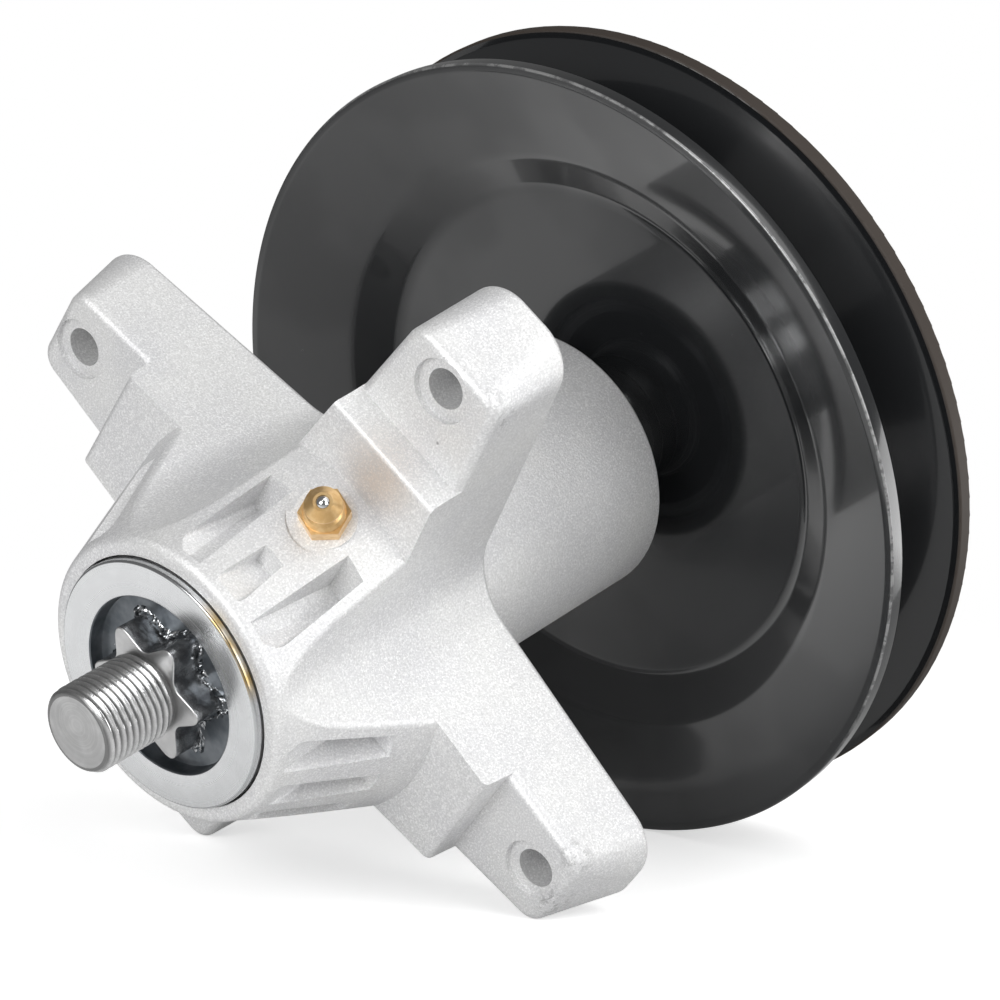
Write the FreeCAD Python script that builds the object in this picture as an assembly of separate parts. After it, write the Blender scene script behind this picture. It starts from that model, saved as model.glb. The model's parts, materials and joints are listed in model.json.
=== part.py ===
import FreeCAD
import Part
import math
import os

from FreeCAD import Vector

# Mower deck spindle, in millimetres.
# Z is the spindle axis and points up, from the blade end to the pulley.
# The origin is the centre of the deck bolt circle, on the seating faces of the arms.
# X points along the arm that carries the grease fitting.

# Ball bearings, 20 by 47 by 14; the inside follows from the bore and the outer radius
BRG_BORE_R = 10.0
BRG_OUTER_R = 23.5
BRG_WIDTH = 14.0
BRG_BALL_COUNT = 8
BRG_RUNNING = 0.05
BRG_CORNER = 0.8
SEAL_THICK = 0.9
SEAL_INSET = 0.4
SEAL_LIP_GAP = 0.35
BRG_PITCH_R = (BRG_BORE_R + BRG_OUTER_R) / 2
BRG_BALL_R = 0.294 * (BRG_OUTER_R - BRG_BORE_R)
BRG_GROOVE_R = 1.038 * BRG_BALL_R
BRG_INNER_SHOULDER_R = BRG_PITCH_R - 0.592 * BRG_BALL_R
BRG_OUTER_SHOULDER_R = BRG_PITCH_R + 0.642 * BRG_BALL_R
SEAL_SEAT_R = BRG_OUTER_SHOULDER_R + 0.252 * BRG_BALL_R
CAGE_INNER_R = BRG_PITCH_R - 0.39 * BRG_BALL_R
CAGE_OUTER_R = BRG_PITCH_R + 0.415 * BRG_BALL_R
CAGE_BACK = BRG_WIDTH / 2 - SEAL_INSET - SEAL_THICK - 0.7
CAGE_CLAW = 0.655 * BRG_BALL_R

# Deck joint
ARM_COUNT = 4
BOLT_CIRCLE_D = 127.0
BOLT_HOLE_R = 3.7
BOLT_LEAD_R = 5.9
BOLT_LEAD_DEPTH = 1.2

# Housing heights, measured from the seating faces at zero
RIM_Z = -34.5
PAD_Z = -6.0
BARREL_TOP_Z = 71.3

# Housing plan; the barrel is a wall round the bearings, and the saddle and valleys follow it
BARREL_WALL = 3.3
BARREL_R = BRG_OUTER_R + BARREL_WALL
RIM_R = BARREL_R - 0.2
VALLEY_FLOOR_R = BARREL_R + 0.7
SADDLE_PAD_R = BARREL_R + 11.2
ARM_HALF_AT_AXIS = 0.679 * BARREL_R
ARM_TAPER = 0.114
ARM_SIDE_DRAFT = 0.03
EAR_FRONT_END_R = BOLT_CIRCLE_D / 2 + 6.4
EAR_FRONT_CORNER_R = 4.0
EAR_BACK_END_R = EAR_FRONT_END_R + 5.9
EAR_BACK_CORNER_R = 8.8
STEP_TOP_X = BOLT_CIRCLE_D / 2 - 14.5
STEP_FOOT_X = STEP_TOP_X + 0.7
ARM_BACK_AT_AXIS = 22.0
EAR_DEPTH = ARM_BACK_AT_AXIS - 4.0
ARM_BACK_SLOPE = 0.062

# Rounded edges of the casting
EAR_EDGE_R = 1.7
EAR_BACK_R = 1.0
STEP_EDGE_R = 1.3
SADDLE_EDGE_R = 1.4
RIM_EDGE_R = 1.6
BARREL_EDGE_R = 0.8

# Weight-saving pockets, drawn toward the nose: they widen that way and run out near the rim
POCKET_END_WIDTH = 4.4
POCKET_NOSE_WIDTH = 6.4
POCKET_SIDE_OFFSET = 9.9
POCKET_DRAFT = 0.4
POCKET_CORNER_R = 0.8
POCKET_START_Z = RIM_Z + 1.9
POCKET_END_Z = -13.5
POCKET_SHORT_END_Z = -23.0
POCKET_MIDDLE_FLOOR = BARREL_R - 0.4
POCKET_SIDE_FLOOR = BARREL_R - 2.5
POCKET_RUN_OUT = 0.9

# Stack along the shaft
LOWER_BRG_Z = RIM_Z + 5.5
UPPER_BRG_Z = BARREL_TOP_Z - BRG_WIDTH - 1.3
CAVITY_R = BRG_OUTER_R - 2.9

# Spindle shaft
FLANGE_FACE_Z = RIM_Z - 1.5
FLANGE_R = BRG_OUTER_R - 0.1
FLANGE_GAP = 0.4
FLANGE_THICK = 5.6
FLANGE_CHAMFER = 0.45
FLANGE_BACK_ROUND = 0.5
RECESS_R = FLANGE_R - 6.7
RECESS_DEPTH = 3.0
RECESS_FLOOR_ROUND = 0.8
RECESS_EDGE_ROUND = 0.4
SHOULDER_R = BRG_BORE_R + 3.0
SHOULDER_ROUND = 0.8
STAR_POINTS = 6
STAR_TIP_R = 14.6
STAR_VALLEY_R = 7.9
STAR_TIP_ROUND = 1.9
STAR_VALLEY_ROUND = 2.2
STAR_HEIGHT = 6.0
STUD_R = 7.9375
STUD_LENGTH = 16.0
STUD_CHAMFER = 0.9
STUD_END_ROUND = 0.3
DRIVE_R = BRG_BORE_R - 0.8
DRIVE_FLAT = DRIVE_R - 1.8
DRIVE_SHORT = 0.4
DRIVE_CORE_R = DRIVE_FLAT - 0.4
SHAFT_TOP_OVER_NUT = 3.5
SPACER_R = BRG_BORE_R + 3.2

# Belt pulley, stamped from sheet
PULLEY_R = 79.375
PULLEY_SHEET = 3.4
PULLEY_LIP_R = PULLEY_R - 1.6
PULLEY_BEND_R = PULLEY_R - 19.475
PULLEY_DISH_R = PULLEY_BEND_R - 9.7
PULLEY_RIM_Z = BARREL_TOP_Z - 0.5
PULLEY_BEND_Z = PULLEY_RIM_Z + 7.7
PULLEY_WEB_Z = PULLEY_BEND_Z + 6.0
PULLEY_BACK_Z = PULLEY_RIM_Z + 25.8
PULLEY_DISH_ROUND = 2.5
PULLEY_BEND_ROUND = 1.5
PULLEY_LIP_ROUND = 0.8
PULLEY_RIM_ROUND = 0.4

# Washer and nut over the pulley
WASHER_R = 15.5
WASHER_THICK = 3.0
NUT_ACROSS_FLATS = 23.8
NUT_HEIGHT = 14.0
NUT_COLLAR_R = 14.6
NUT_COLLAR_THICK = 2.2
NUT_COLLAR_EDGE_R = 0.4
NUT_CROWN_DROP = 1.6
NUT_CROWN_INSET = 0.4

# Heights that follow from the stack over the pulley
WASHER_Z = PULLEY_WEB_Z + 2 * PULLEY_SHEET
NUT_Z = WASHER_Z + WASHER_THICK
SHAFT_TOP_Z = NUT_Z + NUT_HEIGHT + SHAFT_TOP_OVER_NUT

# Grease fitting, leaning toward the nose a little more than the saddle does
FITTING_S = 21.7
FITTING_LEAN = 32.0
FITTING_TURN = -9.0
BOSS_R = 5.6
BOSS_RAISE = 0.35
SPOT_FACE_R = 6.8
FITTING_SHANK_R = 3.0
FITTING_SHANK_LENGTH = 7.0
FITTING_FLATS = 7.94
FITTING_HEX_HEIGHT = 3.4
FITTING_COLLAR_RISE = 1.2
FITTING_NECK_RISE = 1.9
FITTING_HEAD_RISE = 2.6
FITTING_HEAD_FLARE = 0.9
FITTING_HEAD_BAND = 0.5
FITTING_NOSE_WALL = 0.55
FITTING_EDGE = 0.5
FITTING_NECK_R = 2.35
FITTING_HEAD_R = 3.25
FITTING_HEIGHT = 9.0
FITTING_MOUTH_R = 1.15
FITTING_BORE_R = 1.7
FITTING_DUCT_R = 0.9
FITTING_LEDGE = 1.2
CHECK_BALL_R = 1.4
CHECK_BALL_GAP = 0.05
SPRING_R = 1.15
SPRING_WIRE_R = 0.2
SPRING_TURNS = 4.0
SPRING_BALL_GAP = 0.1

os.makedirs("parts", exist_ok=True)

Z_UP = Vector(0, 0, 1)
ORIGIN = Vector(0, 0, 0)


def save(shape, node):
    """Write one sub-part, after checking that it is a sound solid."""
    if not shape.isValid():
        raise ValueError(node + " is not a valid solid")
    shape.exportStep("parts/" + node + ".step")
    print(node, "solids", len(shape.Solids), "volume", round(shape.Volume, 1))


def turned(shape, angle):
    """A copy turned about the spindle axis."""
    copy = shape.copy()
    copy.rotate(ORIGIN, Z_UP, angle)
    return copy


def around(shape, count):
    """The same shape repeated evenly about the spindle axis."""
    return [turned(shape, 360.0 * i / count) for i in range(count)]


def corner(before, point, after, radius):
    """Start, middle and end of the round that replaces one corner."""
    u = (before - point).normalize()
    v = (after - point).normalize()
    half = math.acos(max(-1.0, min(1.0, u.dot(v)))) / 2
    reach = radius / math.tan(half)
    bisector = (u + v).normalize()
    middle = point + bisector * (radius / math.sin(half) - radius)
    return point + u * reach, middle, point + v * reach


def rounded_wire(points, radii):
    """A closed outline with each corner rounded by its own radius; zero keeps it sharp."""
    count = len(points)
    starts = []
    ends = []
    arcs = []
    for i in range(count):
        if radii[i] > 0:
            a, m, b = corner(points[i - 1], points[i], points[(i + 1) % count], radii[i])
            starts.append(a)
            ends.append(b)
            arcs.append(Part.Arc(a, m, b).toShape())
        else:
            starts.append(points[i])
            ends.append(points[i])
            arcs.append(None)
    edges = []
    for i in range(count):
        if arcs[i] is not None:
            edges.append(arcs[i])
        nxt = (i + 1) % count
        if (starts[nxt] - ends[i]).Length > 1e-6:
            edges.append(Part.LineSegment(ends[i], starts[nxt]).toShape())
    return Part.Wire(edges)


def revolved(profile, radii=None):
    """Solid of revolution from (radius, height) points, with optional corner rounds."""
    points = [Vector(r, 0, z) for r, z in profile]
    if radii is None:
        radii = [0] * len(points)
    face = Part.Face(rounded_wire(points, radii))
    return face.revolve(ORIGIN, Z_UP, 360)


def tube(outer, inner, low, high):
    """Plain ring about the spindle axis."""
    return revolved([(inner, low), (outer, low), (outer, high), (inner, high)])


def prism(points, low, high, radii=None):
    """Straight extrusion of a flat outline from one height to another."""
    flat = [Vector(x, y, low) for x, y in points]
    if radii is None:
        radii = [0] * len(flat)
    face = Part.Face(rounded_wire(flat, radii))
    return face.extrude(Vector(0, 0, high - low))


def hexagon(across_flats):
    """Corner points of a hexagon with flats facing plus and minus X."""
    reach = across_flats / math.sqrt(3)
    angles = [math.radians(30 + 60 * i) for i in range(6)]
    return [(reach * math.cos(a), reach * math.sin(a)) for a in angles]


def rounded(shape, radius, keep):
    """Fillet the edges that pass the test."""
    edges = [edge for edge in shape.Edges if keep(edge)]
    return shape.makeFillet(radius, edges)


def middle_of(edge):
    """Point halfway along an edge."""
    return edge.valueAt((edge.FirstParameter + edge.LastParameter) / 2)


def lies_at(edge, height):
    """True if the whole edge lies at one height."""
    return abs(edge.BoundBox.ZMin - height) < 1e-3 and abs(edge.BoundBox.ZMax - height) < 1e-3


def radius_of(point):
    """Distance of a point from the spindle axis."""
    return math.hypot(point.x, point.y)


def arm_back_z(x):
    """Height of the sloping back of an arm at a distance from the axis."""
    return ARM_BACK_AT_AXIS - ARM_BACK_SLOPE * x


def cross_wire(z, ear_z):
    """Plan of the four arms at one height, with ear ends as they are at ear_z."""
    half = ARM_HALF_AT_AXIS + ARM_SIDE_DRAFT * max(z, 0)
    share = ear_z / EAR_DEPTH
    end_x = EAR_FRONT_END_R + (EAR_BACK_END_R - EAR_FRONT_END_R) * share
    corner_r = EAR_FRONT_CORNER_R + (EAR_BACK_CORNER_R - EAR_FRONT_CORNER_R) * share
    lean = math.sqrt(1 + ARM_TAPER ** 2)
    root2 = math.sqrt(2)
    valley_r = ((1 + ARM_TAPER) * VALLEY_FLOOR_R / root2 - half) / (lean - (1 + ARM_TAPER) / root2)
    centre = (VALLEY_FLOOR_R + valley_r) / root2
    touch_x = centre - valley_r * ARM_TAPER / lean
    touch_y = centre - valley_r / lean
    end_y = half - ARM_TAPER * end_x
    edges = []
    for i in range(ARM_COUNT):
        spin = FreeCAD.Rotation(Z_UP, 360.0 * i / ARM_COUNT)
        step = FreeCAD.Rotation(Z_UP, 360.0 * (i + 1) / ARM_COUNT)
        low = Vector(touch_x, -touch_y, z)
        high = Vector(touch_x, touch_y, z)
        a, m, b = corner(low, Vector(end_x, -end_y, z), Vector(end_x, end_y, z), corner_r)
        c, n, d = corner(Vector(end_x, -end_y, z), Vector(end_x, end_y, z), high, corner_r)
        reach = VALLEY_FLOOR_R / root2
        valley = Vector(reach, reach, z)
        pairs = [(low, a), (b, c), (d, high)]
        turned_pairs = [(spin.multVec(p), spin.multVec(q)) for p, q in pairs]
        edges.append(Part.LineSegment(*turned_pairs[0]).toShape())
        edges.append(Part.Arc(spin.multVec(a), spin.multVec(m), spin.multVec(b)).toShape())
        edges.append(Part.LineSegment(*turned_pairs[1]).toShape())
        edges.append(Part.Arc(spin.multVec(c), spin.multVec(n), spin.multVec(d)).toShape())
        edges.append(Part.LineSegment(*turned_pairs[2]).toShape())
        edges.append(Part.Arc(spin.multVec(high), spin.multVec(valley), step.multVec(low)).toShape())
    return Part.Wire(edges)


def arm_side_profile():
    """One arm seen from the side: pad, step and seating face, as a wide slab."""
    inner = BARREL_R / 2
    outer = EAR_BACK_END_R + EAR_DEPTH
    points = [
        Vector(inner, 0, PAD_Z),
        Vector(STEP_TOP_X, 0, PAD_Z),
        Vector(STEP_FOOT_X, 0, 0),
        Vector(outer, 0, 0),
        Vector(outer, 0, ARM_BACK_AT_AXIS + 1),
        Vector(inner, 0, ARM_BACK_AT_AXIS + 1),
    ]
    face = Part.Face(rounded_wire(points, [0] * len(points)))
    face.translate(Vector(0, -BARREL_R, 0))
    return face.extrude(Vector(0, 2 * BARREL_R, 0))


def pocket(offset, floor_x, end_z):
    """A slot lofted from its deep end to the nose, where it is wider and its floor runs out."""
    sections = []
    ends = (
        (POCKET_START_Z, POCKET_NOSE_WIDTH / 2, floor_x + POCKET_RUN_OUT),
        (end_z, POCKET_END_WIDTH / 2, floor_x),
    )
    for z, half, floor in ends:
        mouth = half + POCKET_DRAFT
        points = [
            Vector(floor, offset - half, z),
            Vector(floor, offset + half, z),
            Vector(SADDLE_PAD_R + 2, offset + mouth, z),
            Vector(SADDLE_PAD_R + 2, offset - mouth, z),
        ]
        sections.append(rounded_wire(points, [POCKET_CORNER_R, POCKET_CORNER_R, 0, 0]))
    return Part.makeLoft(sections, True, True)


def fitting_placement():
    """Seat of the grease fitting: on the boss, leaning toward the nose."""
    slope = (SADDLE_PAD_R - RIM_R) / (PAD_Z - RIM_Z)
    along = FITTING_S
    base = Vector(RIM_R + slope * along, 0, RIM_Z + along)
    lean = math.radians(FITTING_LEAN)
    outward = Vector(math.cos(lean), 0, -math.sin(lean))
    seat = base + outward * BOSS_RAISE
    return FreeCAD.Placement(seat, FreeCAD.Rotation(Z_UP, outward))


def soften(body):
    """Round the cast edges: seating faces, arm backs, pad steps and the rims of the saddle."""
    def on_step_top(edge):
        return lies_at(edge, PAD_Z) and abs(radius_of(middle_of(edge)) - STEP_TOP_X) < 0.1

    def on_ear_face(edge):
        return lies_at(edge, 0) and radius_of(middle_of(edge)) > STEP_FOOT_X + 1

    def on_back(edge):
        point = middle_of(edge)
        return abs(point.z - arm_back_z(radius_of(point))) < 0.02

    def on_saddle_side(edge):
        point = middle_of(edge)
        off_seam = min(abs(point.x), abs(point.y)) > 1
        return off_seam and point.z < PAD_Z - 1 and edge.BoundBox.ZLength > 5

    body = rounded(body, SADDLE_EDGE_R, on_saddle_side)
    body = rounded(body, EAR_BACK_R, on_back)
    body = rounded(body, EAR_EDGE_R, on_ear_face)
    return rounded(body, STEP_EDGE_R, on_step_top)


def make_housing():
    """The casting: drafted arms cut to their side shape, saddle cone, barrel, bores and holes."""
    ear_low = PAD_Z / 2
    arm_top = ARM_BACK_AT_AXIS + 2
    sections = [
        cross_wire(RIM_Z - 2, ear_low),
        cross_wire(ear_low, ear_low),
        cross_wire(EAR_DEPTH, EAR_DEPTH),
        cross_wire(arm_top, EAR_DEPTH),
    ]
    body = Part.makeLoft(sections, True, True)
    saddle = revolved(
        [(0, RIM_Z), (RIM_R, RIM_Z), (SADDLE_PAD_R, PAD_Z), (SADDLE_PAD_R, PAD_Z + 8), (0, PAD_Z + 8)],
        [0, RIM_EDGE_R, 0, 0, 0],
    )
    envelope = saddle.multiFuse(around(arm_side_profile(), ARM_COUNT)).removeSplitter()
    wide = EAR_BACK_END_R + EAR_DEPTH
    backs = revolved([(0, RIM_Z - 2), (wide, RIM_Z - 2), (wide, arm_back_z(wide)), (0, ARM_BACK_AT_AXIS)])
    body = body.common(envelope).common(backs).removeSplitter()
    body = soften(body)
    body = body.cut(pocket_tools())
    body = body.fuse(revolved(
        [(0, RIM_Z + 2), (BARREL_R, RIM_Z + 2), (BARREL_R, BARREL_TOP_Z), (0, BARREL_TOP_Z)],
        [0, 0, BARREL_EDGE_R, 0],
    ))

    place = fitting_placement()
    boss = Part.makeCylinder(BOSS_R, BOSS_RAISE + 4, Vector(0, 0, -BOSS_RAISE - 4))
    boss.Placement = place
    spot_face = Part.makeCylinder(SPOT_FACE_R, FITTING_HEX_HEIGHT)
    spot_face.Placement = place
    drill = Part.makeCylinder(FITTING_SHANK_R, BARREL_R, Vector(0, 0, -BARREL_R + 2))
    drill.Placement = place
    body = body.fuse(boss)

    low_top = LOWER_BRG_Z + BRG_WIDTH
    bore = revolved([
        (0, RIM_Z - 1),
        (FLANGE_R + FLANGE_GAP, RIM_Z - 1),
        (FLANGE_R + FLANGE_GAP, LOWER_BRG_Z),
        (BRG_OUTER_R, LOWER_BRG_Z),
        (BRG_OUTER_R, low_top),
        (CAVITY_R, low_top),
        (CAVITY_R, UPPER_BRG_Z),
        (BRG_OUTER_R, UPPER_BRG_Z),
        (BRG_OUTER_R, BARREL_TOP_Z + 1),
        (0, BARREL_TOP_Z + 1),
    ])
    hole_x = BOLT_CIRCLE_D / 2
    hole = Part.makeCylinder(BOLT_HOLE_R, ARM_BACK_AT_AXIS, Vector(hole_x, 0, 0))
    lead = Part.makeCylinder(BOLT_LEAD_R, 2 * BOLT_LEAD_DEPTH, Vector(hole_x, 0, -BOLT_LEAD_DEPTH))
    holes = around(hole.fuse(lead), ARM_COUNT)
    return body.cut([bore, drill, spot_face] + holes).removeSplitter()


def pocket_tools():
    """Three pockets on each arm; the middle one stops short below the grease fitting."""
    tools = []
    for i in range(ARM_COUNT):
        middle_end = POCKET_SHORT_END_Z if i == 0 else POCKET_END_Z
        row = [
            pocket(-POCKET_SIDE_OFFSET, POCKET_SIDE_FLOOR, POCKET_END_Z),
            pocket(0, POCKET_MIDDLE_FLOOR, middle_end),
            pocket(POCKET_SIDE_OFFSET, POCKET_SIDE_FLOOR, POCKET_END_Z),
        ]
        tools += [turned(tool, 360.0 * i / ARM_COUNT) for tool in row]
    return tools


def make_bearing(low):
    """The pieces of one deep-groove ball bearing whose lower face is at a given height."""
    mid = low + BRG_WIDTH / 2
    high = low + BRG_WIDTH
    shift = BRG_GROOVE_R - BRG_BALL_R - BRG_RUNNING
    inner_groove = Part.makeTorus(BRG_PITCH_R + shift, BRG_GROOVE_R, Vector(0, 0, mid))
    outer_groove = Part.makeTorus(BRG_PITCH_R - shift, BRG_GROOVE_R, Vector(0, 0, mid))

    inner = revolved(
        [(BRG_BORE_R, low), (BRG_INNER_SHOULDER_R, low), (BRG_INNER_SHOULDER_R, high), (BRG_BORE_R, high)],
        [BRG_CORNER, BRG_CORNER / 2, BRG_CORNER / 2, BRG_CORNER],
    ).cut(inner_groove)

    seat = SEAL_INSET + SEAL_THICK
    outer = revolved(
        [(SEAL_SEAT_R, low), (BRG_OUTER_R, low), (BRG_OUTER_R, high), (SEAL_SEAT_R, high),
         (SEAL_SEAT_R, high - seat), (BRG_OUTER_SHOULDER_R, high - seat),
         (BRG_OUTER_SHOULDER_R, low + seat), (SEAL_SEAT_R, low + seat)],
        [0, BRG_CORNER, BRG_CORNER, 0, 0, 0, 0, 0],
    ).cut(outer_groove)

    balls = []
    for i in range(BRG_BALL_COUNT):
        angle = 2 * math.pi * (i + 0.5) / BRG_BALL_COUNT
        centre = Vector(BRG_PITCH_R * math.cos(angle), BRG_PITCH_R * math.sin(angle), mid)
        balls.append(Part.makeSphere(BRG_BALL_R, centre))
    cage = tube(CAGE_OUTER_R, CAGE_INNER_R, mid - CAGE_CLAW, mid + CAGE_BACK).cut(balls)

    lip = BRG_INNER_SHOULDER_R + SEAL_LIP_GAP
    low_seal = tube(SEAL_SEAT_R, lip, low + SEAL_INSET, low + seat)
    high_seal = tube(SEAL_SEAT_R, lip, high - seat, high - SEAL_INSET)
    return {
        "outer_ring": outer,
        "inner_ring": inner,
        "balls": Part.makeCompound(balls),
        "cage": cage,
        "seal_below": low_seal,
        "seal_above": high_seal,
    }


def star_points():
    """Corners of the blade drive star, tips and valleys in turn."""
    points = []
    for i in range(2 * STAR_POINTS):
        reach = STAR_TIP_R if i % 2 == 0 else STAR_VALLEY_R
        angle = math.pi * i / STAR_POINTS
        points.append((reach * math.cos(angle), reach * math.sin(angle)))
    return points


def drive_outline(low, high):
    """Round bar with two flats that turns the pulley."""
    bar = Part.makeCylinder(DRIVE_R, high - low, Vector(0, 0, low))
    size = 4 * DRIVE_R
    slab = Part.makeBox(size, 2 * DRIVE_FLAT, high - low, Vector(-size / 2, -DRIVE_FLAT, low))
    return bar.common(slab)


def make_shaft():
    """One turned bar: stud, star, recessed blade flange, journals, pulley drive and upper thread."""
    star_low = FLANGE_FACE_Z + RECESS_DEPTH - STAR_HEIGHT
    floor = FLANGE_FACE_Z + RECESS_DEPTH
    stud_low = star_low - STUD_LENGTH
    flange_top = FLANGE_FACE_Z + FLANGE_THICK
    drive_top = WASHER_Z - DRIVE_SHORT
    bar = revolved(
        [(0, stud_low), (STUD_R - STUD_CHAMFER, stud_low), (STUD_R, stud_low + STUD_CHAMFER),
         (STUD_R, floor), (RECESS_R, floor), (RECESS_R, FLANGE_FACE_Z), (FLANGE_R, FLANGE_FACE_Z),
         (FLANGE_R, flange_top), (SHOULDER_R, flange_top), (SHOULDER_R, LOWER_BRG_Z),
         (BRG_BORE_R, LOWER_BRG_Z), (BRG_BORE_R, PULLEY_WEB_Z), (DRIVE_CORE_R, PULLEY_WEB_Z),
         (DRIVE_CORE_R, WASHER_Z), (STUD_R, WASHER_Z),
         (STUD_R, SHAFT_TOP_Z - STUD_CHAMFER), (STUD_R - STUD_CHAMFER, SHAFT_TOP_Z), (0, SHAFT_TOP_Z)],
        [0, STUD_END_ROUND, 0, 0, RECESS_FLOOR_ROUND, RECESS_EDGE_ROUND, FLANGE_CHAMFER,
         FLANGE_BACK_ROUND, SHOULDER_ROUND] + [0] * 9,
    )
    rounds = [STAR_TIP_ROUND, STAR_VALLEY_ROUND] * STAR_POINTS
    star = prism(star_points(), star_low, floor + 0.5, rounds)
    return bar.fuse([star, drive_outline(PULLEY_WEB_Z - 0.5, drive_top)]).removeSplitter()


def offset_line(points, distance):
    """The same open path moved sideways by a distance, corner by corner."""
    lines = []
    for a, b in zip(points, points[1:]):
        along = (b - a).normalize()
        side = Vector(-along.z, 0, along.x) * distance
        lines.append((a + side, b + side))
    moved = [lines[0][0]]
    for (a, b), (c, d) in zip(lines, lines[1:]):
        u = b - a
        v = d - c
        cross = u.x * v.z - u.z * v.x
        t = ((c.x - a.x) * v.z - (c.z - a.z) * v.x) / cross
        moved.append(a + u * t)
    moved.append(lines[-1][1])
    return moved


def sheet_disc(path, bends, thickness):
    """A stamped disc: one face follows the path, the other lies a sheet thickness above it."""
    face_line = [Vector(r, 0, z) for r, z in path]
    back_line = offset_line(face_line, thickness)
    face_radii = [0]
    back_radii = [0]
    for a, b, c, bend in zip(face_line, face_line[1:], face_line[2:], bends):
        u = b - a
        v = c - b
        turn = u.x * v.z - u.z * v.x
        face_radii.append(bend + thickness if turn > 0 else bend)
        back_radii.append(bend if turn > 0 else bend + thickness)
    face_radii.append(PULLEY_RIM_ROUND)
    back_radii.append(PULLEY_RIM_ROUND)
    outline = face_line + back_line[::-1]
    face = Part.Face(rounded_wire(outline, face_radii + back_radii[::-1]))
    return face.revolve(ORIGIN, Z_UP, 360)


def make_pulley():
    """Two stamped halves that lie web to web and leave a belt groove between their cones."""
    hole = drive_outline(PULLEY_RIM_Z, PULLEY_BACK_Z)
    slope = (PULLEY_BEND_Z - PULLEY_RIM_Z) / (PULLEY_LIP_R - PULLEY_BEND_R)
    front = sheet_disc(
        [(0.5, PULLEY_WEB_Z), (PULLEY_DISH_R, PULLEY_WEB_Z), (PULLEY_BEND_R, PULLEY_BEND_Z),
         (PULLEY_LIP_R, PULLEY_RIM_Z), (PULLEY_R, PULLEY_RIM_Z)],
        [PULLEY_DISH_ROUND, PULLEY_BEND_ROUND, PULLEY_LIP_ROUND], PULLEY_SHEET,
    )
    joint_z = PULLEY_WEB_Z + PULLEY_SHEET
    lip_z = PULLEY_BACK_Z - PULLEY_SHEET
    foot_r = PULLEY_LIP_R - (lip_z - joint_z) / slope
    rear = sheet_disc(
        [(0.5, joint_z), (foot_r, joint_z), (PULLEY_LIP_R, lip_z), (PULLEY_R, lip_z)],
        [PULLEY_DISH_ROUND, PULLEY_LIP_ROUND], PULLEY_SHEET,
    )
    core = Part.makeCylinder(DRIVE_FLAT / 2, PULLEY_BACK_Z - PULLEY_RIM_Z, Vector(0, 0, PULLEY_RIM_Z))
    return front.cut([core, hole]), rear.cut([core, hole])


def make_nut():
    """Hex nut with a round collar under it and a chamfered crown."""
    top = NUT_Z + NUT_HEIGHT
    reach = NUT_ACROSS_FLATS / math.sqrt(3)
    crown = revolved([
        (0, NUT_Z), (reach + 1, NUT_Z), (reach + 1, top - NUT_CROWN_DROP),
        (NUT_ACROSS_FLATS / 2 - NUT_CROWN_INSET, top), (0, top),
    ])
    hexagon_bar = prism(hexagon(NUT_ACROSS_FLATS), NUT_Z, top).common(crown)
    collar = revolved(
        [(0, NUT_Z), (NUT_COLLAR_R, NUT_Z), (NUT_COLLAR_R, NUT_Z + NUT_COLLAR_THICK),
         (0, NUT_Z + 2 * NUT_COLLAR_THICK)],
        [0, NUT_COLLAR_EDGE_R, 2 * NUT_COLLAR_EDGE_R, 0],
    )
    thread = Part.makeCylinder(STUD_R, NUT_HEIGHT + 2, Vector(0, 0, NUT_Z - 1))
    return hexagon_bar.fuse(collar).cut(thread).removeSplitter()


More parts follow.
